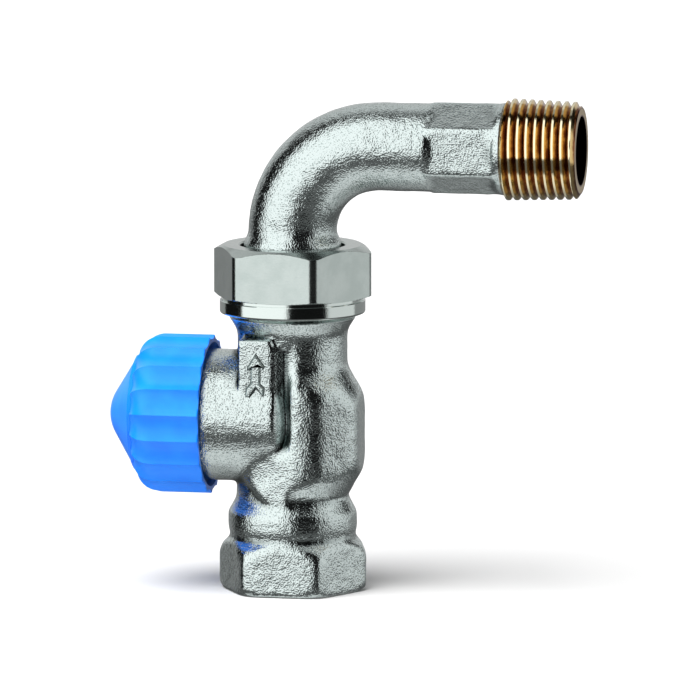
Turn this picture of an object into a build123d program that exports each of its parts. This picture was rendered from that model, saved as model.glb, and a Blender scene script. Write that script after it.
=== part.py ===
from build123d import *
from math import cos, radians, sin, sqrt
import os

# Straight radiator valve with a bent union tail, in millimetres. The flow line is +Z from the
# centre of the inlet mouth, the bonnet points to -X and the tail bends to +X.

# Body: inlet hexagon and socket
inlet_hex_flats = 27.7
inlet_hex_height = 11.3
inlet_hex_round = 15.75
inlet_hex_base_chamfer = 0.7
inlet_hex_edge_top = 7.8
inlet_hex_cone_radius = 15.2
inlet_hex_cone_foot = 9.0
inlet_thread_radius = 9.315
inlet_thread_length = 13.5
inlet_mouth_chamfer = 0.4
socket_foot_radius = 13.05
socket_taper_top = 13.4
socket_radius = 13.45
socket_top = 16.4
socket_rounding = 1.6
waist_radius = 11.8
waist_height = 19.4
waist_rounding = 2.2

# Body: outlet neck and union thread
neck_radius = 11.47
neck_bottom = 26.0
neck_rounding = 4.0
outlet_rise = 28.3
union_thread_radius = 13.2
union_thread_length = 7.2
union_thread_slope = 2.8
union_thread_chamfer = 0.8

# Body: inlet chamber behind the seat, on the +X side
chamber_radius = 15.3
chamber_start = 1.4
chamber_drop = 16.1
chamber_wall_drop = 10.1
chamber_wall_rise = 4.3
chamber_rise = 10.9
chamber_rounding = 6.0
chamber_front_depth = 13.2
chamber_corner_place = 7.4
chamber_corner_depth = 12.45
chamber_corner_rounding = 5.4
chamber_side_place = 14.78
chamber_side_depth = 5.57
chamber_side_rounding = 6.0

# Body: bonnet boss, head thread and bonnet bore
bonnet_height = 36.3
boss_end = -1.6
boss_rounding = 1.0
head_thread_radius = 14.8
head_thread_depth = 1.05
head_thread_start = -18.0
boss_face = -22.3
head_thread_chamfer = 0.7
insert_bore_radius = 10.05
insert_bore_length = 6.8
bonnet_chamber_radius = 9.0

# Body: raised pad with the flow sign, sloping valley beside it, and lobe under the boss, alike on
# both sides
pad_depth = 12.4
pad_left = -9.2
pad_right = -2.1
pad_clearance = 3.6
valley_depth = 9.9
valley_rise = 15.9
valley_drop = 7.4
lobe_radius = 8.2
lobe_drop = 9.3
lobe_top_drop = 6.3
lobe_reach = 12.35

# Body: water way
water_way_radius = 7.5
inlet_chamber_offset = 3.4
inlet_chamber_radius = 8.0
inlet_chamber_rise = 6.1
inlet_chamber_overlap = 4.4
partition_thickness = 3.5
outlet_way_radius = 8.0
bonnet_passage_depth = 9.2
bonnet_passage_width = 11.0
passage_wall = 4.0
seat_hole_radius = 5.0
seat_lip_radius = 6.4
seat_lip_height = 1.0

# Union: gasket, tail and nut
gasket_thickness = 1.5
gasket_inner_radius = 8.2
gasket_outer_radius = 12.8
swivel_gap = 0.05
tail_collar_radius = 12.6
tail_collar_height = 2.8
tail_base_radius = 10.2
tail_base_rise = 8.3
tail_base_rounding = 1.0
tail_straight = 2.25
tail_radius = 9.2
tail_bore_radius = 7.2
tail_bend_radius = 18.3
tail_hex_start = 29.5
tail_hex_length = 14.4
tail_hex_corner = 9.65
tail_hex_chamfer = 0.9
tail_shoulder_length = 1.5
tail_shoulder_radius = 9.6
tail_thread_radius = 10.3
tail_thread_length = 15.5
tail_thread_chamfer = 0.9
tail_thread_pitch = 1.814
tail_thread_depth = 1.0
tail_thread_crest = 0.45
tail_thread_turns = 8
nut_turn = -4.2
nut_flats = 30.0
nut_rise = 8.0
nut_hex_drop = 2.9
nut_drop = 6.3
nut_collar_radius = 15.2
nut_collar_rounding = 0.4
nut_groove_depth = 0.5
nut_groove_height = 0.6
nut_thread_gap = 0.3
nut_hole_radius = 11.0
nut_corner_chamfer = 30.0
nut_chamfer_flat = 14.4

# Insert: spindle with disc, from the seat outwards
lift = 2.0
closing_slack = 0.05
disc_thickness = 2.0
disc_radius = 6.1
disc_fit = 0.05
disc_washer_thickness = 0.5
disc_washer_radius = 3.8
disc_nut_height = 1.4
disc_nut_flats = 4.6
carrier_floor = 1.0
carrier_wall = 0.7
carrier_rim = 1.1
stem_tip_radius = 1.4
stem_radius = 2.0
stem_fit = 0.05

# Insert: spring
spring_wire_radius = 0.4
spring_radius = 4.6
spring_turns = 4
spring_length = 6.7
spring_end_gap = 0.02
spring_cup_thickness = 0.8
spring_cup_radius = 5.6
circlip_thickness = 0.5
circlip_radius = 3.0
circlip_groove_depth = 0.35
spring_seat_thickness = 0.8

# Insert: housing
housing_nose_gap = 1.4
housing_lip_length = 0.7
housing_lip_radius = 5.3
housing_cavity_radius = 6.0
housing_nose_radius = 8.6
housing_thread_radius = 10.0
housing_hex_flats = 21.0
housing_hex_height = 3.5
housing_neck_radius = 8.0
housing_neck_length = 3.2
housing_web_thickness = 1.6
web_gap = 0.1
sliding_gap = 0.08
piece_gap = 0.05
o_ring_gap = 0.03
insert_o_ring_section = 0.75
insert_o_ring_place = 3.4

# Insert: gland and pin
gland_bore_radius = 6.0
gland_inner_gap = 0.5
gland_hex_flats = 13.0
gland_hex_height = 2.2
gland_pocket_radius = 3.1
gland_pocket_length = 4.2
guide_washer_thickness = 1.0
pin_radius = 1.6
pin_tip_rounding = 0.5
closing_height = 11.8
pin_o_ring_section = 0.65
gland_o_ring_section = 0.5

# Cap
cap_rim = -17.1
cap_side_wall = 1.55
cap_side_length = 10.4
cap_shoulder_radius = 5.5
cap_edge_drop = 0.6
cap_cone_radius = 4.6
cap_nose_cover = 1.3
cap_thread_gap = 0.3
cap_wall = 1.6
cap_pin_gap = 0.05
flute_count = 19
flute_depth = 0.6
flute_turn = 80.0
flute_phase = 3.2
ridge_trim = 0.3

# Places worked out from the sizes above
chamber_bottom = bonnet_height - chamber_drop
chamber_wall_bottom = bonnet_height - chamber_wall_drop
chamber_wall_top = bonnet_height + chamber_wall_rise
chamber_top = bonnet_height + chamber_rise
valley_top = bonnet_height + valley_rise
valley_bottom = bonnet_height - valley_drop
lobe_height = bonnet_height - lobe_drop
lobe_top = bonnet_height - lobe_top_drop
inlet_chamber_top = bonnet_height + inlet_chamber_rise
inlet_way_top = bonnet_height - bonnet_chamber_radius - partition_thickness
inlet_chamber_bottom = inlet_way_top - inlet_chamber_overlap
outlet_face = bonnet_height + outlet_rise
union_thread_start = outlet_face - union_thread_length
neck_top = union_thread_start - union_thread_slope
pad_top = union_thread_start - pad_clearance
boss_radius = head_thread_radius - head_thread_depth
nut_top = outlet_face + nut_rise
nut_hex_bottom = outlet_face - nut_hex_drop
nut_bottom = outlet_face - nut_drop
tail_base_top = outlet_face + tail_base_rise
bend_start = tail_base_top + tail_straight
tail_height = bend_start + tail_bend_radius
gasket_top = outlet_face + gasket_thickness
collar_bottom = gasket_top + swivel_gap
collar_top = collar_bottom + tail_collar_height
tail_hex_end = tail_hex_start + tail_hex_length
tail_thread_start = tail_hex_end + tail_shoulder_length
tail_end = tail_thread_start + tail_thread_length
seat_face = -partition_thickness - seat_lip_height
disc_face = seat_face - lift - closing_slack
disc_back = disc_face - disc_thickness
carrier_back = disc_back - carrier_floor
stem_tip = disc_face + disc_washer_thickness + disc_nut_height
housing_nose = carrier_back - housing_nose_gap
spring_seat_front = housing_nose - housing_lip_length
spring_seat_back = spring_seat_front - spring_seat_thickness
spring_cup_front = spring_seat_back - spring_length
spring_cup_back = spring_cup_front - spring_cup_thickness
circlip_back = spring_cup_back - circlip_thickness
web_front = circlip_back - web_gap
web_back = web_front - housing_web_thickness
stem_back = circlip_back - circlip_thickness
housing_hex_back = boss_face - housing_hex_height
housing_back = housing_hex_back - housing_neck_length
gland_front = web_back - gland_inner_gap
gland_pocket_back = gland_front - gland_pocket_length
gland_back = housing_back - gland_hex_height
pin_tip = boss_face - closing_height - lift
insert_bore_end = boss_face + insert_bore_length

bonnet_side = Plane(origin=(0, 0, bonnet_height), x_dir=(1, 0, 0), z_dir=(0, -1, 0))
bonnet_axis = Axis((0, 0, bonnet_height), (1, 0, 0))


def bonnet_plane(x):
    """Plane across the bonnet axis at x, facing +X."""
    return Plane(origin=(x, 0, bonnet_height), x_dir=(0, 1, 0), z_dir=(1, 0, 0))


def bonnet_ring(start, end, inner, outer):
    """Ring about the bonnet axis between two places on it."""
    with BuildPart() as ring:
        with BuildSketch(bonnet_side):
            with Locations((min(start, end), inner)):
                Rectangle(abs(end - start), outer - inner, align=(Align.MIN, Align.MIN))
        revolve(axis=bonnet_axis)
    return ring.part


def bonnet_torus(place, inner, section):
    """O-ring about the bonnet axis, by the radius of its hole and of its section."""
    with BuildPart() as torus:
        with BuildSketch(bonnet_side):
            with Locations((place, inner + section)):
                Circle(section)
        revolve(axis=bonnet_axis)
    return torus.part


os.makedirs("parts", exist_ok=True)

# Valve body: one hot-pressed brass casting
with BuildPart() as valve_body:
    with BuildSketch(Plane.XY):
        RegularPolygon(radius=inlet_hex_flats / 2, side_count=6, major_radius=False)
    extrude(amount=inlet_hex_height)
    with BuildSketch(Plane.XZ):
        with BuildLine():
            FilletPolyline(
                (0, 0),
                (inlet_hex_round - inlet_hex_base_chamfer, 0),
                (inlet_hex_round, inlet_hex_base_chamfer),
                (inlet_hex_round, inlet_hex_edge_top),
                (inlet_hex_cone_radius, inlet_hex_cone_foot),
                (socket_foot_radius, inlet_hex_height),
                (0, inlet_hex_height),
                radius=0,
                close=True,
            )
        make_face()
    revolve(axis=Axis.Z, mode=Mode.INTERSECT)
    # turned outline of socket, waist, neck and union thread
    with BuildSketch(Plane.XZ):
        with BuildLine():
            FilletPolyline(
                (0, inlet_hex_height / 2),
                (socket_foot_radius, inlet_hex_height / 2),
                (socket_foot_radius, inlet_hex_height),
                (socket_radius, socket_taper_top),
                (socket_radius, socket_top),
                (waist_radius, waist_height),
                (neck_radius, neck_bottom),
                (neck_radius, neck_top),
                (union_thread_radius, union_thread_start),
                (union_thread_radius, outlet_face - union_thread_chamfer),
                (union_thread_radius - union_thread_chamfer, outlet_face),
                (0, outlet_face),
                radius=[
                    0,
                    0,
                    0,
                    socket_rounding,
                    socket_rounding,
                    waist_rounding,
                    neck_rounding,
                    neck_rounding,
                    0,
                    0,
                    0,
                    0,
                ],
                close=True,
            )
        make_face()
    revolve(axis=Axis.Z)
    # inlet chamber on the side away from the bonnet, with flat panels between rounded corners
    with BuildPart(mode=Mode.PRIVATE) as chamber:
        with BuildSketch(Plane.XZ):
            with BuildLine():
                FilletPolyline(
                    (0, chamber_bottom),
                    (waist_radius, chamber_bottom),
                    (chamber_radius, chamber_wall_bottom),
                    (chamber_radius, chamber_wall_top),
                    (neck_radius, chamber_top),
                    (0, chamber_top),
                    radius=[0, 0, chamber_rounding, chamber_rounding, 0, 0],
                    close=True,
                )
            make_face()
        revolve(axis=Axis.Z)
        with BuildSketch(Plane.XY.offset(chamber_bottom)):
            with BuildLine():
                FilletPolyline(
                    (chamber_start, -chamber_front_depth),
                    (chamber_corner_place, -chamber_corner_depth),
                    (chamber_side_place, -chamber_side_depth),
                    (chamber_side_place, chamber_side_depth),
                    (chamber_corner_place, chamber_corner_depth),
                    (chamber_start, chamber_front_depth),
                    radius=[
                        0,
                        chamber_corner_rounding,
                        chamber_side_rounding,
                        chamber_side_rounding,
                        chamber_corner_rounding,
                        0,
                    ],
                    close=True,
                )
            make_face()
        extrude(amount=chamber_top - chamber_bottom, mode=Mode.INTERSECT)
    add(chamber.part)
    # valley between the pads and the chamber, sloping down to the chamber's step
    for side in (-1, 1):
        pad_edge = (pad_right, side * pad_depth)
        valley_floor = (chamber_start, side * valley_depth)
        beyond = side * 2 * chamber_radius
        with BuildSketch(Plane.XY.offset(valley_bottom)):
            with BuildLine():
                Polyline(pad_edge, valley_floor, (chamber_start, beyond), (pad_right, beyond), pad_edge)
            make_face()
        extrude(amount=valley_top - valley_bottom, mode=Mode.SUBTRACT)
        with BuildSketch(Plane.XY.offset(valley_bottom)):
            with BuildLine():
                Polyline(pad_edge, valley_floor, (chamber_start, 0), (pad_right, 0), pad_edge)
            make_face()
        extrude(amount=valley_top - valley_bottom)
    # bonnet boss and head thread
    with BuildSketch(bonnet_side):
        with BuildLine():
            FilletPolyline(
                (boss_face, 0),
                (boss_face, head_thread_radius - head_thread_chamfer),
                (boss_face + head_thread_chamfer, head_thread_radius),
                (head_thread_start - head_thread_chamfer, head_thread_radius),
                (head_thread_start, boss_radius),
                (boss_end, boss_radius),
                (chamber_start, valley_depth),
                (chamber_start, 0),
                radius=[0, 0, 0, 0, 0, boss_rounding, 0, 0],
                close=True,
            )
        make_face()
    revolve(axis=bonnet_axis)
    # flow sign's pads
    with BuildSketch(Plane.XY.offset(bonnet_height)):
        with Locations((pad_left, 0)):
            Rectangle(pad_right - pad_left, 2 * pad_depth, align=(Align.MIN, Align.CENTER))
    extrude(amount=pad_top - bonnet_height)
    # lobes under the boss
    with BuildSketch(Plane.XZ):
        with Locations((0, lobe_height)):
            Circle(lobe_radius)
        with Locations((0, lobe_top)):
            Rectangle(4 * lobe_radius, lobe_radius * 2, align=(Align.CENTER, Align.MIN), mode=Mode.SUBTRACT)
        with Locations((chamber_start, lobe_height)):
            Rectangle(lobe_radius * 2, 4 * lobe_radius, align=(Align.MIN, Align.CENTER), mode=Mode.SUBTRACT)
    lobes = extrude(amount=lobe_reach, both=True, mode=Mode.PRIVATE)
    with BuildPart(mode=Mode.PRIVATE) as lobe_limit:
        Cylinder(lobe_reach, 2 * bonnet_height)
    add(lobes & lobe_limit.part)
    # bores: inlet thread, inlet chamber, outlet
    with BuildSketch(Plane.XZ):
        with BuildLine():
            FilletPolyline(
                (0, 0),
                (inlet_thread_radius + inlet_mouth_chamfer, 0),
                (inlet_thread_radius, inlet_mouth_chamfer),
                (inlet_thread_radius, inlet_thread_length),
                (water_way_radius, inlet_thread_length + 1),
                (water_way_radius, inlet_way_top),
                (0, inlet_way_top),
                radius=0,
                close=True,
            )
        make_face()
    revolve(axis=Axis.Z, mode=Mode.SUBTRACT)
    with BuildSketch(Plane.XY.offset(inlet_chamber_bottom)):
        with Locations((inlet_chamber_offset, 0)):
            Circle(inlet_chamber_radius)
        Rectangle(
            2 * chamber_radius,
            2 * chamber_radius,
            align=(Align.MAX, Align.CENTER),
            mode=Mode.SUBTRACT,
        )
    extrude(amount=inlet_chamber_top - inlet_chamber_bottom, mode=Mode.SUBTRACT)
    outlet_way_bottom = inlet_chamber_top + passage_wall
    with BuildSketch(Plane.XY.offset(outlet_way_bottom)):
        Circle(outlet_way_radius)
    extrude(amount=outlet_face - outlet_way_bottom, mode=Mode.SUBTRACT)
    with BuildSketch(Plane.XY.offset(bonnet_height)):
        with Locations((-partition_thickness, 0)):
            Rectangle(
                bonnet_passage_depth - partition_thickness,
                bonnet_passage_width,
                align=(Align.MAX, Align.CENTER),
            )
    extrude(amount=outlet_way_bottom - bonnet_height, mode=Mode.SUBTRACT)
    # bonnet chamber with the raised seat
    with BuildSketch(bonnet_side):
        with BuildLine():
            FilletPolyline(
                (boss_face, 0),
                (boss_face, insert_bore_radius),
                (insert_bore_end, insert_bore_radius),
                (insert_bore_end, bonnet_chamber_radius),
                (-partition_thickness, bonnet_chamber_radius),
                (-partition_thickness, seat_lip_radius),
                (seat_face, seat_lip_radius),
                (seat_face, seat_hole_radius),
                (0, seat_hole_radius),
                (0, 0),
                radius=0,
                close=True,
            )
        make_face()
    revolve(axis=bonnet_axis, mode=Mode.SUBTRACT)
valve_body.part.label = "valve_body"
export_step(valve_body.part, "parts/valve_body.step")

# Union gasket, a flat ring on the body's outlet face
with BuildPart() as union_gasket:
    with BuildSketch(Plane.XY.offset(outlet_face)):
        Circle(gasket_outer_radius)
        Circle(gasket_inner_radius, mode=Mode.SUBTRACT)
    extrude(amount=gasket_thickness)
union_gasket.part.label = "union_gasket"
export_step(union_gasket.part, "parts/union_gasket.step")

# Union tail: collar, bent tube, hexagon and male thread in one piece
tail_line = Plane(origin=(0, 0, tail_height), x_dir=(0, 1, 0), z_dir=(1, 0, 0))
tail_side = Plane(origin=(0, 0, tail_height), x_dir=(1, 0, 0), z_dir=(0, -1, 0))
tail_axis = Axis((0, 0, tail_height), (1, 0, 0))
bend_axis = Axis((tail_bend_radius, 0, bend_start), (0, 1, 0))
with BuildPart() as union_tail:
    with BuildSketch(Plane.XZ):
        with BuildLine():
            FilletPolyline(
                (0, collar_bottom),
                (tail_collar_radius, collar_bottom),
                (tail_collar_radius, collar_top),
                (tail_base_radius, collar_top),
                (tail_base_radius, tail_base_top),
                (tail_radius, bend_start),
                (0, bend_start),
                radius=[0, 0, 0, 0, tail_base_rounding, 0, 0],
                close=True,
            )
        make_face()
    revolve(axis=Axis.Z)
    with BuildSketch(Plane.XY.offset(bend_start)):
        Circle(tail_radius)
    revolve(axis=bend_axis, revolution_arc=90)
    with BuildSketch(tail_side):
        with BuildLine():
            FilletPolyline(
                (tail_bend_radius, 0),
                (tail_bend_radius, tail_radius),
                (tail_hex_start, tail_radius),
                (tail_hex_start + tail_hex_chamfer, tail_radius - tail_hex_chamfer),
                (tail_hex_end - tail_hex_chamfer, tail_radius - tail_hex_chamfer),
                (tail_hex_end, tail_shoulder_radius),
                (tail_thread_start, tail_shoulder_radius),
                (tail_thread_start, tail_thread_radius),
                (tail_end - tail_thread_chamfer, tail_thread_radius),
                (tail_end, tail_thread_radius - tail_thread_chamfer),
                (tail_end, 0),
                radius=0,
                close=True,
            )
        make_face()
    revolve(axis=tail_axis)
    with BuildSketch(tail_line.offset(tail_hex_start)):
        RegularPolygon(radius=tail_hex_corner, side_count=6, rotation=90)
    extrude(amount=tail_hex_length)
    # thread turns as rings
    groove_half_width = (tail_thread_pitch - tail_thread_crest) / 2
    for number in range(tail_thread_turns):
        groove_middle = tail_thread_start + (number + 0.6) * tail_thread_pitch
        with BuildSketch(tail_side):
            with BuildLine():
                Polyline(
                    (groove_middle - groove_half_width, tail_thread_radius),
                    (groove_middle, tail_thread_radius - tail_thread_depth),
                    (groove_middle + groove_half_width, tail_thread_radius),
                    (groove_middle, tail_thread_radius + tail_thread_depth),
                    (groove_middle - groove_half_width, tail_thread_radius),
                )
            make_face()
        revolve(axis=tail_axis, mode=Mode.SUBTRACT)
    # water way
    with BuildSketch(Plane.XY.offset(collar_bottom)):
        Circle(tail_bore_radius)
    extrude(amount=bend_start - collar_bottom, mode=Mode.SUBTRACT)
    with BuildSketch(Plane.XY.offset(bend_start)):
        Circle(tail_bore_radius)
    revolve(axis=bend_axis, revolution_arc=90, mode=Mode.SUBTRACT)
    with BuildSketch(tail_line.offset(tail_bend_radius)):
        Circle(tail_bore_radius)
    extrude(amount=tail_end - tail_bend_radius, mode=Mode.SUBTRACT)
union_tail.part.label = "union_tail"
export_step(union_tail.part, "parts/union_tail.step")

# Union nut: hexagon with a round collar, and a shelf over the tail's collar
nut_corner = nut_flats / 2 / cos(radians(30))
nut_chamfer_drop = (nut_corner - nut_chamfer_flat) * sin(radians(nut_corner_chamfer)) / cos(
    radians(nut_corner_chamfer)
)
nut_thread_radius = union_thread_radius + nut_thread_gap
with BuildPart() as union_nut:
    with BuildSketch(Plane.XY.offset(nut_hex_bottom)):
        RegularPolygon(radius=nut_flats / 2, side_count=6, major_radius=False, rotation=nut_turn)
    extrude(amount=nut_top - nut_hex_bottom)
    with BuildSketch(Plane.XZ):
        with BuildLine():
            FilletPolyline(
                (0, nut_hex_bottom),
                (nut_collar_radius, nut_hex_bottom),
                (nut_corner, nut_hex_bottom + nut_groove_height),
                (nut_corner, nut_top - nut_chamfer_drop),
                (nut_chamfer_flat, nut_top),
                (0, nut_top),
                radius=0,
                close=True,
            )
        make_face()
    revolve(axis=Axis.Z, mode=Mode.INTERSECT)
    with BuildSketch(Plane.XZ):
        with BuildLine():
            FilletPolyline(
                (0, nut_bottom),
                (nut_collar_radius, nut_bottom),
                (nut_collar_radius, nut_hex_bottom - nut_groove_height),
                (nut_collar_radius - nut_groove_depth, nut_hex_bottom - nut_groove_height),
                (nut_collar_radius - nut_groove_depth, nut_hex_bottom),
                (0, nut_hex_bottom),
                radius=[0, nut_collar_rounding, 0, 0, 0, 0],
                close=True,
            )
        make_face()
    revolve(axis=Axis.Z)
    with BuildSketch(Plane.XY.offset(nut_bottom)):
        Circle(nut_thread_radius)
    extrude(amount=collar_top + swivel_gap - nut_bottom, mode=Mode.SUBTRACT)
    with BuildSketch(Plane.XY.offset(nut_bottom)):
        Circle(nut_hole_radius)
    extrude(amount=nut_top - nut_bottom, mode=Mode.SUBTRACT)
union_nut.part.label = "union_nut"
export_step(union_nut.part, "parts/union_nut.step")

# Insert housing: screws into the boss, with its hexagon on the boss face
with BuildPart() as insert_housing:
    with BuildSketch(bonnet_plane(housing_hex_back)):
        RegularPolygon(radius=housing_hex_flats / 2, side_count=6, major_radius=False)
    extrude(amount=housing_hex_height)
    groove_floor = bonnet_chamber_radius - o_ring_gap - 2 * insert_o_ring_section - o_ring_gap
    groove_half = insert_o_ring_section + piece_gap
    groove_place = housing_nose - insert_o_ring_place
    with BuildSketch(bonnet_side):
        with BuildLine():
            FilletPolyline(
                (housing_back, 0),
                (housing_back, housing_neck_radius),
                (housing_hex_back, housing_neck_radius),
                (boss_face, housing_neck_radius),
                (boss_face, housing_thread_radius),
                (insert_bore_end - piece_gap, housing_thread_radius),
                (insert_bore_end - piece_gap, housing_nose_radius),
                (groove_place - groove_half, housing_nose_radius),
                (groove_place - groove_half, groove_floor),
                (groove_place + groove_half, groove_floor),
                (groove_place + groove_half, housing_nose_radius),
                (housing_nose, housing_nose_radius),
                (housing_nose, 0),
                radius=0,
                close=True,
            )
        make_face()
    revolve(axis=bonnet_axis)
    with BuildSketch(bonnet_side):
        with BuildLine():
            Polyline(
                (housing_back, 0),
                (housing_back, gland_bore_radius),
                (web_back, gland_bore_radius),
                (web_back, stem_radius + sliding_gap),
                (web_front, stem_radius + sliding_gap),
                (web_front, housing_cavity_radius),
                (spring_seat_front, housing_cavity_radius),
                (spring_seat_front, housing_lip_radius),
                (housing_nose, housing_lip_radius),
                (housing_nose, 0),
                (housing_back, 0),
            )
        make_face()
    revolve(axis=bonnet_axis, mode=Mode.SUBTRACT)
insert_housing.part.label = "insert_housing"
export_step(insert_housing.part, "parts/insert_housing.step")

# Seal between housing and body
insert_o_ring = bonnet_torus(groove_place, groove_floor + o_ring_gap, insert_o_ring_section)
insert_o_ring.label = "insert_o_ring"
export_step(insert_o_ring, "parts/insert_o_ring.step")

# Fixed seat of the spring, behind the housing's rolled lip
spring_seat_washer = bonnet_ring(
    spring_seat_front,
    spring_seat_back,
    stem_radius + sliding_gap,
    housing_cavity_radius - piece_gap,
)
spring_seat_washer.label = "spring_seat_washer"
export_step(spring_seat_washer, "parts/spring_seat_washer.step")

# Return spring, wound between its fixed seat and the cup on the stem
spring_start = spring_seat_back - spring_wire_radius - spring_end_gap
spring_height = spring_length - 2 * (spring_wire_radius + spring_end_gap)
with BuildPart() as return_spring:
    with BuildLine():
        coil = Helix(
            pitch=spring_height / spring_turns,
            height=spring_height,
            radius=spring_radius,
            center=(spring_start, 0, bonnet_height),
            direction=(-1, 0, 0),
        )
    with BuildSketch(Plane(origin=coil @ 0, z_dir=coil % 0)):
        Circle(spring_wire_radius)
    sweep(path=coil, is_frenet=True)
return_spring.part.label = "return_spring"
export_step(return_spring.part, "parts/return_spring.step")

# Moving seat of the spring
spring_cup = bonnet_ring(
    spring_cup_back, spring_cup_front, stem_radius + stem_fit, spring_cup_radius
)
spring_cup.label = "spring_cup"
export_step(spring_cup, "parts/spring_cup.step")

# Circlip in the stem's groove, open on one side
groove_radius = stem_radius - circlip_groove_depth
with BuildPart() as stem_circlip:
    with BuildSketch(bonnet_plane(circlip_back)):
        Circle(circlip_radius)
        Circle(groove_radius, mode=Mode.SUBTRACT)
        Rectangle(
            1.6 * groove_radius,
            2 * circlip_radius,
            align=(Align.CENTER, Align.MAX),
            mode=Mode.SUBTRACT,
        )
    extrude(amount=circlip_thickness)
stem_circlip.part.label = "stem_circlip"
export_step(stem_circlip.part, "parts/stem_circlip.step")

# Stem with a thin tip for the disc and a groove for the circlip
with BuildPart() as valve_stem:
    with BuildSketch(bonnet_side):
        with BuildLine():
            Polyline(
                (stem_back, 0),
                (stem_back, stem_radius),
                (circlip_back, stem_radius),
                (circlip_back, groove_radius),
                (spring_cup_back, groove_radius),
                (spring_cup_back, stem_radius),
                (carrier_back, stem_radius),
                (carrier_back, stem_tip_radius),
                (stem_tip, stem_tip_radius),
                (stem_tip, 0),
                (stem_back, 0),
            )
        make_face()
    revolve(axis=bonnet_axis)
valve_stem.part.label = "valve_stem"
export_step(valve_stem.part, "parts/valve_stem.step")

# Cup that backs the disc, the disc, its washer and its nut
carrier_radius = disc_radius + disc_fit + carrier_wall
tip_hole = stem_tip_radius + stem_fit
with BuildPart() as disc_carrier:
    with BuildSketch(bonnet_side):
        with BuildLine():
            Polyline(
                (carrier_back, tip_hole),
                (carrier_back, carrier_radius),
                (disc_back + carrier_rim, carrier_radius),
                (disc_back + carrier_rim, disc_radius + disc_fit),
                (disc_back, disc_radius + disc_fit),
                (disc_back, tip_hole),
                (carrier_back, tip_hole),
            )
        make_face()
    revolve(axis=bonnet_axis)
disc_carrier.part.label = "disc_carrier"
export_step(disc_carrier.part, "parts/disc_carrier.step")

seat_disc = bonnet_ring(disc_back, disc_face, tip_hole, disc_radius)
seat_disc.label = "seat_disc"
export_step(seat_disc, "parts/seat_disc.step")

washer_front = disc_face + disc_washer_thickness
disc_washer = bonnet_ring(disc_face, washer_front, tip_hole, disc_washer_radius)
disc_washer.label = "disc_washer"
export_step(disc_washer, "parts/disc_washer.step")

with BuildPart() as disc_nut:
    with BuildSketch(bonnet_plane(washer_front)):
        RegularPolygon(radius=disc_nut_flats / 2, side_count=6, major_radius=False)
        Circle(tip_hole, mode=Mode.SUBTRACT)
    extrude(amount=disc_nut_height)
disc_nut.part.label = "disc_nut"
export_step(disc_nut.part, "parts/disc_nut.step")

# Pressure pin with a rounded tip
with BuildPart() as pressure_pin:
    with BuildSketch(bonnet_side):
        with BuildLine():
            FilletPolyline(
                (pin_tip, 0),
                (pin_tip, pin_radius),
                (stem_back, pin_radius),
                (stem_back, 0),
                radius=[0, pin_tip_rounding, 0, 0],
                close=True,
            )
        make_face()
    revolve(axis=bonnet_axis)
pressure_pin.part.label = "pressure_pin"
export_step(pressure_pin.part, "parts/pressure_pin.step")

# Gland nut: screws into the housing and carries the seals of the pin
gland_radius = gland_bore_radius - piece_gap
gland_ring_place = (gland_pocket_back + gland_front) / 2
gland_groove_floor = gland_bore_radius - 2 * gland_o_ring_section - 2 * o_ring_gap
gland_groove_half = gland_o_ring_section + piece_gap
with BuildPart() as gland_nut:
    with BuildSketch(bonnet_plane(gland_back)):
        RegularPolygon(radius=gland_hex_flats / 2, side_count=6, major_radius=False)
    extrude(amount=gland_hex_height)
    with BuildSketch(bonnet_side):
        with BuildLine():
            Polyline(
                (gland_back, 0),
                (gland_back, gland_radius),
                (gland_ring_place - gland_groove_half, gland_radius),
                (gland_ring_place - gland_groove_half, gland_groove_floor),
                (gland_ring_place + gland_groove_half, gland_groove_floor),
                (gland_ring_place + gland_groove_half, gland_radius),
                (gland_front, gland_radius),
                (gland_front, 0),
                (gland_back, 0),
            )
        make_face()
    revolve(axis=bonnet_axis)
    with BuildSketch(bonnet_side):
        with BuildLine():
            Polyline(
                (gland_back, 0),
                (gland_back, pin_radius + sliding_gap),
                (gland_pocket_back, pin_radius + sliding_gap),
                (gland_pocket_back, gland_pocket_radius),
                (gland_front, gland_pocket_radius),
                (gland_front, 0),
                (gland_back, 0),
            )
        make_face()
    revolve(axis=bonnet_axis, mode=Mode.SUBTRACT)
gland_nut.part.label = "gland_nut"
export_step(gland_nut.part, "parts/gland_nut.step")

gland_outer_o_ring = bonnet_torus(
    gland_ring_place, gland_groove_floor + o_ring_gap, gland_o_ring_section
)
gland_outer_o_ring.label = "gland_outer_o_ring"
export_step(gland_outer_o_ring, "parts/gland_outer_o_ring.step")

guide_washer_back = gland_front - guide_washer_thickness
gland_guide_washer = bonnet_ring(
    guide_washer_back,
    gland_front,
    pin_radius + sliding_gap,
    gland_pocket_radius - piece_gap,
)
gland_guide_washer.label = "gland_guide_washer"
export_step(gland_guide_washer, "parts/gland_guide_washer.step")

gland_pin_o_ring = bonnet_torus(
    (guide_washer_back + gland_pocket_back) / 2,
    pin_radius + sliding_gap,
    pin_o_ring_section,
)
gland_pin_o_ring.label = "gland_pin_o_ring"
export_step(gland_pin_o_ring, "parts/gland_pin_o_ring.step")

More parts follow.
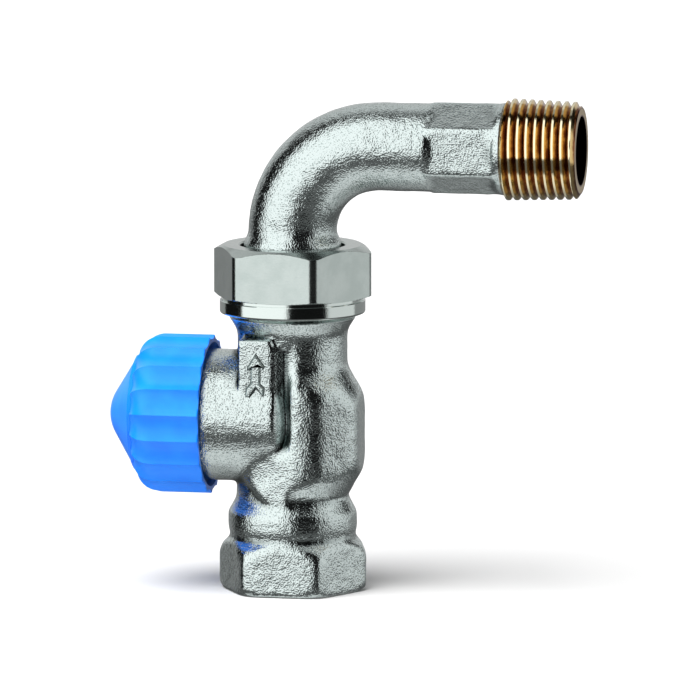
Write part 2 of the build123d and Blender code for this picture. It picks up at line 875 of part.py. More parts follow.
# Protective cap: fluted grip, rounded shoulder and blunt cone
cap_side_end = cap_rim - cap_side_length
cap_bore_radius = head_thread_radius + cap_thread_gap
cap_radius = cap_bore_radius + cap_side_wall
cap_shoulder_height = cap_radius - cap_shoulder_radius
cap_edge_height = cap_shoulder_height + cap_edge_drop
cap_edge = cap_side_end - sqrt(cap_shoulder_radius**2 - cap_edge_drop**2)
cap_cone_end = pin_tip - cap_nose_cover
cone_run = cap_edge - cap_cone_end
cone_drop = cap_edge_height - cap_cone_radius
cone_slant = sqrt(cone_run**2 + cone_drop**2)
nose_sphere_radius = cap_cone_radius * cone_slant / cone_run
cap_nose = cap_cone_end + cap_cone_radius * cone_drop / cone_run - nose_sphere_radius
cap_inner_corner = cap_bore_radius - cap_shoulder_height
cap_floor = pin_tip - cap_pin_gap
ridge_half = cap_radius * sin(radians(180 / flute_count))
ridge_height = cap_radius * cos(radians(180 / flute_count))
flute_radius = (ridge_half**2 + flute_depth**2) / (2 * flute_depth)
flute_centre = ridge_height + sqrt(flute_radius**2 - ridge_half**2)
turn_axis = Axis((cap_side_end, 0, bonnet_height + cap_shoulder_height), (0, 1, 0))
with BuildPart() as protective_cap:
    with BuildSketch(bonnet_side):
        with BuildLine():
            Polyline(
                (cap_nose, 0),
                (cap_rim, 0),
                (cap_rim, cap_radius + ridge_trim),
                (cap_side_end, cap_radius + ridge_trim),
            )
            TangentArc(
                (cap_side_end, cap_radius + ridge_trim),
                (cap_edge, cap_edge_height),
                tangent=(-1, 0),
            )
            Line((cap_edge, cap_edge_height), (cap_cone_end, cap_cone_radius))
            TangentArc(
                (cap_cone_end, cap_cone_radius),
                (cap_nose, 0),
                tangent=(-cone_run, -cone_drop),
            )
        make_face()
    revolve(axis=bonnet_axis)
    # each flute runs along the side and follows the shoulder
    with BuildSketch(bonnet_plane(cap_rim)):
        with Locations((0, flute_centre)):
            Circle(flute_radius)
    side_flute = extrude(amount=-cap_side_length, mode=Mode.PRIVATE)
    with BuildSketch(bonnet_plane(cap_side_end)):
        with Locations((0, flute_centre)):
            Circle(flute_radius)
    shoulder_flute = revolve(axis=turn_axis, revolution_arc=-flute_turn, mode=Mode.PRIVATE)
    flute = side_flute + shoulder_flute
    for number in range(flute_count):
        angle = 90 + flute_phase + number * 360 / flute_count
        add(flute.rotate(bonnet_axis, angle), mode=Mode.SUBTRACT)
    with BuildSketch(bonnet_side):
        with BuildLine():
            Polyline(
                (cap_floor, 0),
                (cap_rim, 0),
                (cap_rim, cap_bore_radius),
                (cap_side_end, cap_bore_radius),
            )
            TangentArc(
                (cap_side_end, cap_bore_radius),
                (cap_side_end - cap_inner_corner, cap_shoulder_height),
                tangent=(-1, 0),
            )
            Polyline(
                (cap_side_end - cap_inner_corner, cap_shoulder_height),
                (
                    cap_cone_end + cap_wall * cone_drop / cone_slant,
                    cap_cone_radius - cap_wall * cone_run / cone_slant,
                ),
                (cap_floor, pin_radius),
                (cap_floor, 0),
            )
        make_face()
    revolve(axis=bonnet_axis, mode=Mode.SUBTRACT)
protective_cap.part.label = "protective_cap"
export_step(protective_cap.part, "parts/protective_cap.step")
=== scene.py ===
from math import ceil, cos, degrees, pi, radians, sin

import bmesh
import bpy
import numpy as np
from mathutils import Matrix, Vector, noise


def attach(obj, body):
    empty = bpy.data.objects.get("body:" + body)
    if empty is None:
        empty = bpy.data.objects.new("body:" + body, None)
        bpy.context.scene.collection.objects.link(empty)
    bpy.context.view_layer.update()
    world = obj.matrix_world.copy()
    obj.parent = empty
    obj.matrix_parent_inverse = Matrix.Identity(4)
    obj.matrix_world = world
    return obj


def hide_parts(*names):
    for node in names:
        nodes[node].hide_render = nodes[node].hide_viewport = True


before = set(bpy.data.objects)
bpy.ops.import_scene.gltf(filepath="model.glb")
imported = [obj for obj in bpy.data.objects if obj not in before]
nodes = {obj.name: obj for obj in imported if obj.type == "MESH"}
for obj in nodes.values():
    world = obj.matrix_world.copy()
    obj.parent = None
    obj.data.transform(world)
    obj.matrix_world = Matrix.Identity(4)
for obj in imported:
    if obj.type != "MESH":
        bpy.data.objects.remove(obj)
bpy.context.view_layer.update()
scene = bpy.context.scene
mm = 0.001

# Camera. A long lens far away looks down by 8 degrees, a little from the tail's side. The plain
# view transform keeps the backdrop white.
camera_turn = radians(10.5)
camera_rise = radians(8.0)
camera_distance = 2.2
camera_focus = Vector((12.17, 0, 50.56)) * mm
toward_camera = Vector((
    sin(camera_turn) * cos(camera_rise),
    -cos(camera_turn) * cos(camera_rise),
    sin(camera_rise),
))
camera = bpy.data.objects.new("camera", bpy.data.cameras.new("camera"))
camera.data.lens = 542.7
camera.data.sensor_width = 36
camera.data.clip_start = 0.1
camera.data.clip_end = 20
camera.location = camera_focus + toward_camera * camera_distance
camera.rotation_euler = toward_camera.to_track_quat("Z", "Y").to_euler()
scene.collection.objects.link(camera)
scene.camera = camera
scene.view_settings.view_transform = "Standard"


# Studio. A large white card stands at the front left, a dimmer one at the right, and black flags
# between them, at the far left, at the far right and overhead, round a pale table. The room is
# grey, and a soft light from above brightens the floor. Angles are in degrees.
class Signal:
    """One socket of a node tree. Arithmetic on signals adds Math nodes."""

    def __init__(self, tree, socket=None):
        self.tree = tree
        self.socket = socket

    def node(self, kind, settings=None, inputs=None, output=0):
        made = self.tree.nodes.new(kind)
        for name, value in (settings or {}).items():
            setattr(made, name, value)
        for name, value in (inputs or {}).items():
            socket = find_socket(made.inputs, name)
            if isinstance(value, Signal):
                self.tree.links.new(value.socket, socket)
            else:
                socket.default_value = value
        if not made.outputs:
            return None
        return Signal(self.tree, find_socket(made.outputs, output))

    def other(self, output):
        """Another output of the node that this signal comes from."""
        return Signal(self.tree, find_socket(self.socket.node.outputs, output))

    def math(self, operation, first, second=0.0):
        return self.node("ShaderNodeMath", {"operation": operation}, {0: first, 1: second})

    def ramp(self, start, end):
        """0 below start, 1 above end, and smooth between."""
        return self.node(
            "ShaderNodeMapRange",
            {"interpolation_type": "SMOOTHSTEP"},
            {"Value": self, "From Min": start, "From Max": end},
        )

    def between(self, start, end, soft):
        """1 between two values of the signal, with soft ends."""
        return self.ramp(start - soft, start + soft) * (1 - self.ramp(end - soft, end + soft))

    def least(self, other):
        return self.math("MINIMUM", self, other)

    def most(self, other):
        return self.math("MAXIMUM", self, other)

    def __add__(self, other):
        return self.math("ADD", self, other)

    def __radd__(self, other):
        return self.math("ADD", other, self)

    def __sub__(self, other):
        return self.math("SUBTRACT", self, other)

    def __rsub__(self, other):
        return self.math("SUBTRACT", other, self)

    def __mul__(self, other):
        return self.math("MULTIPLY", self, other)

    def __rmul__(self, other):
        return self.math("MULTIPLY", other, self)

    def __truediv__(self, other):
        return self.math("DIVIDE", self, other)

    def __neg__(self):
        return self.math("MULTIPLY", self, -1)


def find_socket(sockets, name):
    """Socket by its place, its identifier or its name."""
    if isinstance(name, int):
        return sockets[name]
    for socket in sockets:
        if socket.identifier == name:
            return socket
    return sockets[name]


left_card = (-88, -4)
right_card = (50, 116)
left_flag = (-134, -88)
front_flag = (-8, 57)
right_flag = (112, 145)
front_flag_top = (50, 80)
right_flag_foot = (6, 12)
flag_overhead = 79
card_foot = -14
back_wall = (0, 26)
back_sky = (30, 62)
table_from = -50
table_from_right = -38
table_rises = (48, 60)
table_front = (-0.35, 0.25)
left_card_light = 1.42
right_card_light = 0.88
room_light = 0.32
back_wall_light = 0.36
back_sky_light = 0.40
shadow_light = 0.008
foot_light = 0.13
table_light = 0.92
far_table_light = 0.42
studio = bpy.data.worlds.new("studio")
scene.world = studio
studio.use_nodes = True
studio.node_tree.nodes.clear()
air = Signal(studio.node_tree)
direction = air.node("ShaderNodeTexCoord", output="Generated")
along_x = air.node("ShaderNodeSeparateXYZ", inputs={"Vector": direction}, output="X")
along_y = along_x.other("Y")
along_z = along_x.other("Z")
bearing = air.math("ARCTAN2", along_x, -along_y) * degrees(1) - degrees(camera_turn)
height = air.math("ARCSINE", along_z) * degrees(1)
raised = height.ramp(card_foot - 2, card_foot + 2)
overhead = height.ramp(*front_flag_top)
lit = room_light + height.between(*back_wall, 5) * back_wall_light
lit = lit + height.between(*back_sky, 4) * back_sky_light
for bearings, light, soft in (
    (left_card, left_card_light, 2.5),
    (right_card, right_card_light, 3),
    (left_flag, shadow_light, 2),
):
    lit = lit + bearing.between(*bearings, soft) * (light - lit)
lit = lit + bearing.between(*front_flag, 5) * (1 - overhead) * (shadow_light - lit)
above_foot = height.ramp(*right_flag_foot)
lit = lit + bearing.between(*right_flag, 3) * above_foot * (shadow_light - lit)
lit = lit * raised + (1 - raised) * foot_light
in_front = (-along_y).ramp(*table_front)
table = far_table_light + in_front * (table_light - far_table_light)
table_edge = table_from + bearing.ramp(*table_rises) * (table_from_right - table_from)
on_table = 1 - (height - table_edge).ramp(-4, 4)
lit = lit + on_table * (table - foot_light)
over = height.ramp(flag_overhead - 1.5, flag_overhead + 1.5)
lit = lit + over * (shadow_light - lit)
glow = air.node("ShaderNodeBackground", inputs={"Color": (1, 1, 1, 1), "Strength": lit})
air.node("ShaderNodeOutputWorld", inputs={"Surface": glow})

top_light_power = 5.2
top_light_width = 45
top_light_from = Vector((-0.4, -0.6, 1.6))
sun = bpy.data.objects.new("soft_top_light", bpy.data.lights.new("soft_top_light", "SUN"))
sun.data.energy = top_light_power
sun.data.angle = radians(top_light_width)
sun.rotation_euler = top_light_from.to_track_quat("Z", "Y").to_euler()
sun.visible_glossy = False
scene.collection.objects.link(sun)

floor_half = 3.0
floor_height = -0.0001
floor_dark = (0.58, 0.58, 0.58, 1)
floor_light = (0.60, 0.60, 0.60, 1)
floor_mesh = bpy.data.meshes.new("floor")
floor_mesh.from_pydata(
    [
        (-floor_half, -floor_half, floor_height),
        (floor_half, -floor_half, floor_height),
        (floor_half, floor_half, floor_height),
        (-floor_half, floor_half, floor_height),
    ],
    [],
    [(0, 1, 2, 3)],
)
floor = bpy.data.objects.new("floor", floor_mesh)
scene.collection.objects.link(floor)
floor.visible_glossy = False


def new_finish(name):
    """Empty material and the signal that starts its nodes."""
    material = bpy.data.materials.new(name)
    material.use_nodes = True
    material.node_tree.nodes.clear()
    return material, Signal(material.node_tree)


def blend(tree, factor, first, second):
    """Colour between two colours."""
    return tree.node(
        "ShaderNodeMix",
        {"data_type": "RGBA"},
        {"Factor_Float": factor, "A_Color": first, "B_Color": second},
        output="Result_Color",
    )


floor_finish, paper = new_finish("floor_paper")
paper_grain = paper.node(
    "ShaderNodeTexNoise",
    inputs={"Vector": paper.node("ShaderNodeTexCoord", output="Object"), "Scale": 3.0},
)
paper_shader = paper.node(
    "ShaderNodeBsdfPrincipled",
    inputs={
        "Base Color": blend(paper, paper_grain, floor_dark, floor_light),
        "Roughness": 0.9,
        "Specular IOR Level": 0.0,
    },
)
paper.node("ShaderNodeOutputMaterial", inputs={"Surface": paper_shader})
floor_mesh.materials.append(floor_finish)


# Valve body. One hot-pressed brass casting with a rough nickel plate. Hexagon, socket, boss, pads
# and chamber blend into each other. The inlet thread is cut after plating and stays brass; the
# threads under the nut and the cap are plated. Places are in millimetres.
def noise_field(tree, place, size, detail, roughness=0.5):
    """Noise with grains of about the given size in millimetres."""
    return tree.node(
        "ShaderNodeTexNoise",
        inputs={
            "Vector": place,
            "Scale": 1 / (size * mm),
            "Detail": detail,
            "Roughness": roughness,
        },
    )


nickel_light = (0.598, 0.672, 0.660, 1)
nickel_dark = (0.390, 0.460, 0.448, 1)
# The near-black colour is painted shade, laid into recesses and corners by a per-point map.
nickel_painted_shade = (0.028, 0.045, 0.042, 1)
cast_nickel, nickel = new_finish("nickel_casting")
place = nickel.node("ShaderNodeTexCoord", output="Object")
hollow_shade = nickel.node("ShaderNodeAttribute", {"attribute_name": "hollow_shade"}, output="Fac")
lumps = noise_field(nickel, place, 1.1, 1)
sand = noise_field(nickel, place, 0.31, 0.5, 0.6)
patches = noise_field(nickel, place, 6.0, 2)
pits = sand.ramp(0.30, 0.44)
nickel_tone = blend(nickel, pits, nickel_dark, nickel_light)
nickel_tone = blend(nickel, hollow_shade, nickel_tone, nickel_painted_shade)
nickel_gloss = 0.12 + 0.08 * patches + (1 - pits) * 0.06
nickel_bump = nickel.node(
    "ShaderNodeBump",
    inputs={
        "Strength": 1.0,
        "Distance": 0.086 * mm,
        "Height": sand + lumps * 0.9,
    },
)
nickel_shader = nickel.node(
    "ShaderNodeBsdfPrincipled",
    inputs={
        "Base Color": nickel_tone,
        "Metallic": 1.0,
        "Roughness": nickel_gloss,
        "Normal": nickel_bump,
    },
)
nickel.node("ShaderNodeOutputMaterial", inputs={"Surface": nickel_shader})


def welded_copy(node, name):
    """Copy of a CAD piece, in one connected mesh."""
    mesh = nodes[node].data.copy()
    mesh.name = name
    shape = bmesh.new()
    shape.from_mesh(mesh)
    bmesh.ops.remove_doubles(shape, verts=shape.verts, dist=0.00001)
    shape.to_mesh(mesh)
    shape.free()
    mesh.materials.clear()
    piece = bpy.data.objects.new(name, mesh)
    scene.collection.objects.link(piece)
    return piece


def settle(piece):
    """Works the piece's modifiers into its mesh."""
    bpy.context.view_layer.update()
    ready = piece.evaluated_get(bpy.context.evaluated_depsgraph_get())
    mesh = bpy.data.meshes.new_from_object(ready)
    piece.modifiers.clear()
    piece.data = mesh
    mesh.name = piece.name


def smooth_faces(mesh, crease=None):
    """Smooth shading, with edges sharper than the crease angle in degrees kept hard."""
    mesh.polygons.foreach_set("use_smooth", np.ones(len(mesh.polygons), bool))
    if crease is None:
        return
    shape = bmesh.new()
    shape.from_mesh(mesh)
    for edge in shape.edges:
        edge.smooth = len(edge.link_faces) == 2 and edge.calc_face_angle(0) < radians(crease)
    shape.to_mesh(mesh)
    shape.free()


def points_of(mesh):
    """Points of a mesh, in millimetres."""
    points = np.empty(len(mesh.vertices) * 3)
    mesh.vertices.foreach_get("co", points)
    return points.reshape(-1, 3) / mm


def put_points(mesh, points):
    """Moves a mesh's points to places in millimetres."""
    mesh.vertices.foreach_set("co", (points * mm).ravel())
    mesh.update()


def cut_ring(mesh, place, outward):
    """Cuts a mesh at a plane, and closes the ring between its outside and its bore."""
    shape = bmesh.new()
    shape.from_mesh(mesh)
    everything = shape.verts[:] + shape.edges[:] + shape.faces[:]
    bmesh.ops.bisect_plane(
        shape,
        geom=everything,
        plane_co=Vector(place) * mm,
        plane_no=Vector(outward),
        clear_outer=True,
    )
    rim = [edge for edge in shape.edges if edge.is_boundary]
    bmesh.ops.bridge_loops(shape, edges=rim)
    bmesh.ops.recalc_face_normals(shape, faces=shape.faces)
    shape.to_mesh(mesh)
    shape.free()


def rounded(points, edges, share, rounds):
    """Each point moves towards the middle of its neighbours, by its own share."""
    count = np.bincount(edges.ravel(), minlength=len(points))[:, None]
    for _ in range(rounds):
        total = np.zeros_like(points)
        for axis in range(3):
            total[:, axis] += np.bincount(edges[:, 0], points[edges[:, 1], axis], len(points))
            total[:, axis] += np.bincount(edges[:, 1], points[edges[:, 0], axis], len(points))
        points = points + (total / np.maximum(count, 1) - points) * 0.5 * share[:, None]
    return points


def step(values, start, end):
    """0 at start and before it, 1 at end and past it, smooth between. End may be the smaller."""
    part = np.clip((values - start) / (end - start), 0, 1)
    return part * part * (3 - 2 * part)


hollow_rounds = 90
hollow_depths = (0.06, 0.42)


def cast_skin(piece, cell, cast_share, rounds, waves, cuts=(), blend_share=None, blend_rounds=0):
    """Turns a CAD copy into a casting: one skin with soft edges and an uneven surface.

    cast_share gives 1 for the points that keep the casting's skin and 0 for those cut by tools.
    blend_share gives 1 where two forms run into each other with a wide fillet. The map of
    painted recess shade is what many more rounds of rounding would fill up; deep points turn dark.
    """
    remesh = piece.modifiers.new("skin", "REMESH")
    remesh.mode = "VOXEL"
    remesh.voxel_size = cell * mm
    settle(piece)
    for place, outward in cuts:
        cut_ring(piece.data, place, outward)
    mesh = piece.data
    edges = np.empty(len(mesh.edges) * 2, dtype=np.int64)
    mesh.edges.foreach_get("vertices", edges)
    edges = edges.reshape(-1, 2)
    points = points_of(mesh)
    share = cast_share(points)
    points = rounded(points, edges, share, rounds)
    if blend_share:
        points = rounded(points, edges, share * blend_share(points), blend_rounds)
    put_points(mesh, points)
    normals = np.empty(len(mesh.vertices) * 3)
    mesh.vertices.foreach_get("normal", normals)
    normals = normals.reshape(-1, 3)
    uneven = np.zeros(len(points))
    for size, amount in waves:
        uneven += [amount * noise.noise(Vector(point) / size) for point in points]
    # Painted shade: the deeper a point lies under the filled-up skin, the darker its colour.
    filled = rounded(points, edges, np.ones(len(points)), hollow_rounds)
    deep = np.sum((filled - points) * normals, axis=1)
    hollow_shade_map = mesh.attributes.new("hollow_shade", "FLOAT", "POINT")
    hollow_shade_map.data.foreach_set("value", step(deep, *hollow_depths) * share)
    put_points(mesh, points + normals * (uneven * share)[:, None])
    smooth_faces(mesh)


bonnet_height = 36.3
chamber_axis = 3.4
chamber_middle = 30.5
body_cell = 0.34
body_rounds = 9
blend_rounds = 60
body_waves = ((3.0, 0.06), (1.4, 0.03))
inlet_thread_root = 10.48
union_thread_start = 57.5
head_thread_start = -18.0
tool_cuts = {
    "inlet thread": (("flow", 11.6, 10.4), ("z", 16.0, 15.0)),
    "inlet way": (("flow", 9.2, 8.4), ("z", 25.4, 24.4)),
    "chamber": (("chamber", 9.6, 8.8), ("chamber_end", 13.4, 12.4)),
    "outlet way": (("flow", 9.8, 8.9), ("z", 41.0, 42.0)),
    "bonnet": (("bonnet", 12.0, 11.0), ("x", -2.6, -3.4)),
    "union thread": (("z", union_thread_start - 1.2, union_thread_start - 0.4),),
    "head thread": (("x", head_thread_start + 1.2, head_thread_start + 0.4),),
}
wide_blends = {
    "lobe": (
        1.0,
        (("side", 4.0, 6.0), ("x", -14.0, -12.0), ("x", 1.2, 0.0), ("z", 22.0, 24.5), ("z", 32.0, 30.0)),
    ),
    "chamber lip": (0.7, (("x", 0.8, 2.4), ("z", 16.8, 18.8), ("z", 49.0, 47.0))),
    "hexagon corners": (0.5, (("flow", 14.5, 15.1), ("z", 13.0, 11.0))),
    "valley bank": (
        1.0,
        (("side", 9.2, 10.2), ("x", 0.2, 0.8), ("x", 4.5, 3.0), ("z", 28.0, 30.0), ("z", 56.0, 55.0)),
    ),
}
# The valley between the chamber and the boss gets painted shade: its colour is pulled towards the
# near-black shade colour.
valley = (
    ("x", -2.4, -1.8),
    ("x", 1.6, 0.8),
    ("z", 27.5, 29.5),
    ("z", 52.5, 50.5),
    ("side", 9.2, 9.4),
    ("side", 12.2, 11.6),
)
valley_painted_shade = 0.72


def measure(points):
    """Distances that the body's regions are told by."""
    x, y, z = points.T
    return {
        "x": x,
        "side": np.abs(y),
        "z": z,
        "flow": np.hypot(x, y),
        "bonnet": np.hypot(y, z - bonnet_height),
        "chamber": np.hypot(x - chamber_axis, y),
        "chamber_end": np.abs(z - chamber_middle),
    }


def region(distances, borders):
    """1 inside a region and 0 outside it.

    Each border names a distance, the value from which a point is outside, and the value from
    which it is inside.
    """
    share = 1.0
    for name, outside, inside in borders:
        share = share * step(distances[name], outside, inside)
    return share


def body_share(points):
    distances = measure(points)
    share = np.ones(len(points))
    for borders in tool_cuts.values():
        share *= 1 - region(distances, borders)
    return share


def body_blend(points):
    distances = measure(points)
    return np.maximum.reduce(
        [amount * region(distances, borders) for amount, borders in wide_blends.values()]
    )


lobe_outline = (
    (-10.4, 25.6),
    (-7.9, 23.2),
    (-4.3, 20.5),
    (-0.6, 18.4),
    (1.3, 18.8),
    (1.3, 28.5),
    (1.3, 32.0),
    (-9.5, 28.0),
    (-7.5, 32.0),
)
lobe_radius = 12.65
lobe_depth = 12.45
lobe_inside = 4.0
lobe_top = 29.0
boss_radius = 11.9
body = welded_copy("valve_body", "body_casting")
shape = bmesh.new()
shape.from_mesh(body.data)
for side in (-1, 1):
    corners = []
    for x, z in lobe_outline:
        on_boss = np.sqrt(np.maximum(boss_radius**2 - (z - bonnet_height) ** 2, 0))
        on_lobe = min(lobe_depth, np.sqrt(lobe_radius**2 - x**2))
        for depth in (lobe_inside, on_lobe if z < lobe_top else on_boss):
            corners.append(shape.verts.new(Vector((x, side * depth, z)) * mm))
    bmesh.ops.convex_hull(shape, input=corners, use_existing_faces=False)
bmesh.ops.recalc_face_normals(shape, faces=shape.faces)
shape.to_mesh(body.data)
shape.free()
cast_skin(
    body,
    body_cell,
    body_share,
    body_rounds,
    body_waves,
    cuts=(((0, 0, union_thread_start), (0, 0, 1)), ((head_thread_start, 0, 0), (-1, 0, 0))),
    blend_share=body_blend,
    blend_rounds=blend_rounds,
)
body_points = points_of(body.data)
body_flow = np.hypot(body_points[:, 0], body_points[:, 1])
mouth_radius = inlet_thread_root + 0.15
mouth_top = 13.8
mouth = (body_flow < mouth_radius) & (body_points[:, 2] < mouth_top)
widen = np.where(mouth, mouth_radius / np.maximum(body_flow, 0.1), 1)
body_points[:, :2] *= widen[:, None]
put_points(body.data, body_points)
# Painted shade in the valley is added to the recess shade map.
hollow_shade_map = body.data.attributes["hollow_shade"].data
hollow_shades = np.empty(len(body_points))
hollow_shade_map.foreach_get("value", hollow_shades)
valley_shade_mask = region(measure(body_points), valley)
hollow_shade_map.foreach_set("value", np.maximum(hollow_shades, valley_shade_mask * valley_painted_shade))
body.data.materials.append(cast_nickel)
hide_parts("valve_body")
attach(body, "valve_body")

satin_light = (0.600, 0.665, 0.640, 1)
satin_dark = (0.540, 0.605, 0.580, 1)
satin_nickel, satin = new_finish("satin_nickel")
place = satin.node("ShaderNodeTexCoord", output="Object")
haze = noise_field(satin, place, 4.0, 4)
grain = noise_field(satin, place, 0.35, 2)
satin_shader = satin.node(
    "ShaderNodeBsdfPrincipled",
    inputs={
        "Base Color": blend(satin, haze.ramp(0.3, 0.7), satin_dark, satin_light),
        "Metallic": 1.0,
        "Roughness": 0.08 + 0.08 * haze,
        "Normal": satin.node(
            "ShaderNodeBump",
            inputs={"Strength": 0.5, "Distance": 0.012 * mm, "Height": grain},
        ),
    },
)
satin.node("ShaderNodeOutputMaterial", inputs={"Surface": satin_shader})

brass_light = (0.830, 0.600, 0.270, 1)
brass_dark = (0.560, 0.360, 0.140, 1)
turned_brass, brass = new_finish("turned_brass")
place = brass.node("ShaderNodeTexCoord", output="Object")
tool_marks = noise_field(brass, place, 0.5, 3)
stains = noise_field(brass, place, 3.0, 3)
brass_tone = blend(brass, stains.ramp(0.35, 0.65), brass_dark, brass_light)
brass_shader = brass.node(
    "ShaderNodeBsdfPrincipled",
    inputs={
        "Base Color": brass_tone,
        "Metallic": 1.0,
        "Roughness": 0.16 + 0.12 * stains,
        "Normal": brass.node(
            "ShaderNodeBump",
            inputs={"Strength": 0.6, "Distance": 0.02 * mm, "Height": tool_marks},
        ),
    },
)
brass.node("ShaderNodeOutputMaterial", inputs={"Surface": brass_shader})


def growth_tree(name, sizes):
    """Geometry Nodes tree with a named input for each size, in metres or as a count."""
    tree = bpy.data.node_groups.new(name, "GeometryNodeTree")
    tree.interface.new_socket("Geometry", in_out="OUTPUT", socket_type="NodeSocketGeometry")
    kinds = {float: "NodeSocketFloat", int: "NodeSocketInt"}
    for size, value in sizes.items():
        kind = kinds.get(type(value), "NodeSocketMaterial")
        socket = tree.interface.new_socket(size, in_out="INPUT", socket_type=kind)
        if kind != "NodeSocketMaterial":
            socket.default_value = value
    given = tree.nodes.new("NodeGroupInput")
    return Signal(tree), {size: Signal(tree, given.outputs[size]) for size in sizes}


def grow(name, tree, sizes):
    """Plain mesh piece from a Geometry Nodes tree and its sizes."""
    piece = bpy.data.objects.new(name, bpy.data.meshes.new(name))
    scene.collection.objects.link(piece)
    growth = piece.modifiers.new("growth", "NODES")
    growth.node_group = tree
    for socket in tree.interface.items_tree:
        if socket.in_out == "INPUT":
            growth[socket.identifier] = sizes[socket.name]
    settle(piece)
    shape = bmesh.new()
    shape.from_mesh(piece.data)
    bmesh.ops.remove_doubles(shape, verts=shape.verts, dist=0.000002)
    bmesh.ops.dissolve_degenerate(shape, edges=shape.edges, dist=0.000002)
    bmesh.ops.recalc_face_normals(shape, faces=shape.faces)
    shape.to_mesh(piece.data)
    shape.free()
    return piece


pipe_pitch = 1.814
pipe_depth = 1.16
head_pitch = 1.5
rows_in_a_turn = 18
thread_columns = 96
crest_gain = 1.39
crest_drop = 0.083
start_slope = 1.8
end_slope = 1.4
thread_sizes = {
    "Length": 0.0155,
    "Pitch": 0.001814,
    "Root Radius": 0.0089,
    "Depth": 0.00116,
    "Side": 1.0,
    "Taper": 0.0,
    "Bore Radius": 0.0072,
    "Columns": thread_columns,
    "Rows": 100,
    "Material": None,
}
thread, size = growth_tree("screw_thread", thread_sizes)
sheets = []
for rows in (size["Rows"], 4):
    sheet = thread.node(
        "GeometryNodeMeshGrid",
        inputs={
            "Size X": 1.0,
            "Size Y": 1.0,
            "Vertices X": size["Columns"] + 1,
            "Vertices Y": rows,
        },
        output="Mesh",
    )
    sheets.append(sheet)
spot = thread.node("GeometryNodeInputPosition")
across = thread.node("ShaderNodeSeparateXYZ", inputs={"Vector": spot}, output="X") + 0.5
up = thread.node("ShaderNodeSeparateXYZ", inputs={"Vector": spot}, output="Y") + 0.5
angle = across * (2 * pi)
row = up * (size["Rows"] - 1)
run = row * size["Pitch"] / rows_in_a_turn + (across - 1) * size["Pitch"]
along = run.most(0).least(size["Length"])
flank = thread.math("PINGPONG", row / (rows_in_a_turn / 2), 1.0)
crest = (flank * crest_gain - crest_drop).most(0).least(1) * size["Depth"]
to_end = size["Length"] - along
crest = crest.least(to_end * end_slope).least(along * start_slope).most(0)
radius = size["Root Radius"] + to_end * size["Taper"] + crest * size["Side"]
thread_place = thread.node(
    "ShaderNodeCombineXYZ",
    inputs={
        "X": thread.math("COSINE", angle) * radius,
        "Y": thread.math("SINE", angle) * radius,
        "Z": along,
    },
)
ridges = thread.node(
    "GeometryNodeSetPosition", inputs={"Geometry": sheets[0], "Position": thread_place}
)
far_end = thread.math("GREATER_THAN", up, 0.5)
at_bore = thread.math("LESS_THAN", thread.math("ABSOLUTE", up - 0.5), 0.4)
lining_along = far_end * size["Length"]
lining_root = size["Root Radius"] + (size["Length"] - lining_along) * size["Taper"]
lining_radius = lining_root + at_bore * (size["Bore Radius"] - lining_root)
lining_place = thread.node(
    "ShaderNodeCombineXYZ",
    inputs={
        "X": thread.math("COSINE", angle) * lining_radius,
        "Y": thread.math("SINE", angle) * lining_radius,
        "Z": lining_along,
    },
)
lining = thread.node(
    "GeometryNodeSetPosition", inputs={"Geometry": sheets[1], "Position": lining_place}
)
joined = thread.tree.nodes.new("GeometryNodeJoinGeometry")
thread.tree.links.new(lining.socket, joined.inputs[0])
thread.tree.links.new(ridges.socket, joined.inputs[0])
whole = thread.node(
    "GeometryNodeMergeByDistance",
    inputs={"Geometry": Signal(thread.tree, joined.outputs[0]), "Distance": 0.000002},
)
whole = thread.node("GeometryNodeRealizeInstances", inputs={"Geometry": whole})
whole = thread.node(
    "GeometryNodeSetMaterial", inputs={"Geometry": whole, "Material": size["Material"]}
)
thread.node("NodeGroupOutput", inputs={"Geometry": whole})


def screw_thread(name, length, pitch, root, depth, side, bore, start, axis, finish, taper=0.0):
    """Thread with real turns along an axis. Side is 1 for a male thread and -1 for a female one."""
    piece = grow(name, thread.tree, {
        "Length": length * mm,
        "Pitch": pitch * mm,
        "Root Radius": root * mm,
        "Depth": depth * mm,
        "Side": float(side),
        "Taper": taper,
        "Bore Radius": bore * mm,
        "Columns": thread_columns,
        "Rows": ceil((length / pitch + 2) * rows_in_a_turn) + 1,
        "Material": finish,
    })
    turn = Vector((0, 0, 1)).rotation_difference(Vector(axis)).to_matrix().to_4x4()
    piece.data.transform(Matrix.Translation(Vector(start) * mm) @ turn)
    smooth_faces(piece.data, crease=32)
    return piece


inlet_thread = screw_thread(
    "inlet_thread",
    length=13.5,
    pitch=pipe_pitch,
    root=inlet_thread_root,
    depth=pipe_depth,
    side=-1,
    bore=10.9,
    start=(0, 0, 0.02),
    axis=(0, 0, 1),
    finish=turned_brass,
)
union_thread = screw_thread(
    "union_thread",
    length=7.0,
    pitch=pipe_pitch,
    root=12.05,
    depth=1.15,
    side=1,
    bore=8.0,
    start=(0, 0, union_thread_start),
    axis=(0, 0, 1),
    finish=satin_nickel,
)
head_thread = screw_thread(
    "head_thread",
    length=4.3,
    pitch=head_pitch,
    root=13.88,
    depth=0.92,
    side=1,
    bore=10.05,
    start=(head_thread_start, 0, bonnet_height),
    axis=(-1, 0, 0),
    finish=satin_nickel,
)
for piece, finish_slot in (
    (inlet_thread, "brass_turned"),
    (union_thread, "nickel_turned"),
    (head_thread, "nickel_turned"),
):
    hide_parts("valve_body")
    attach(piece, "valve_body")
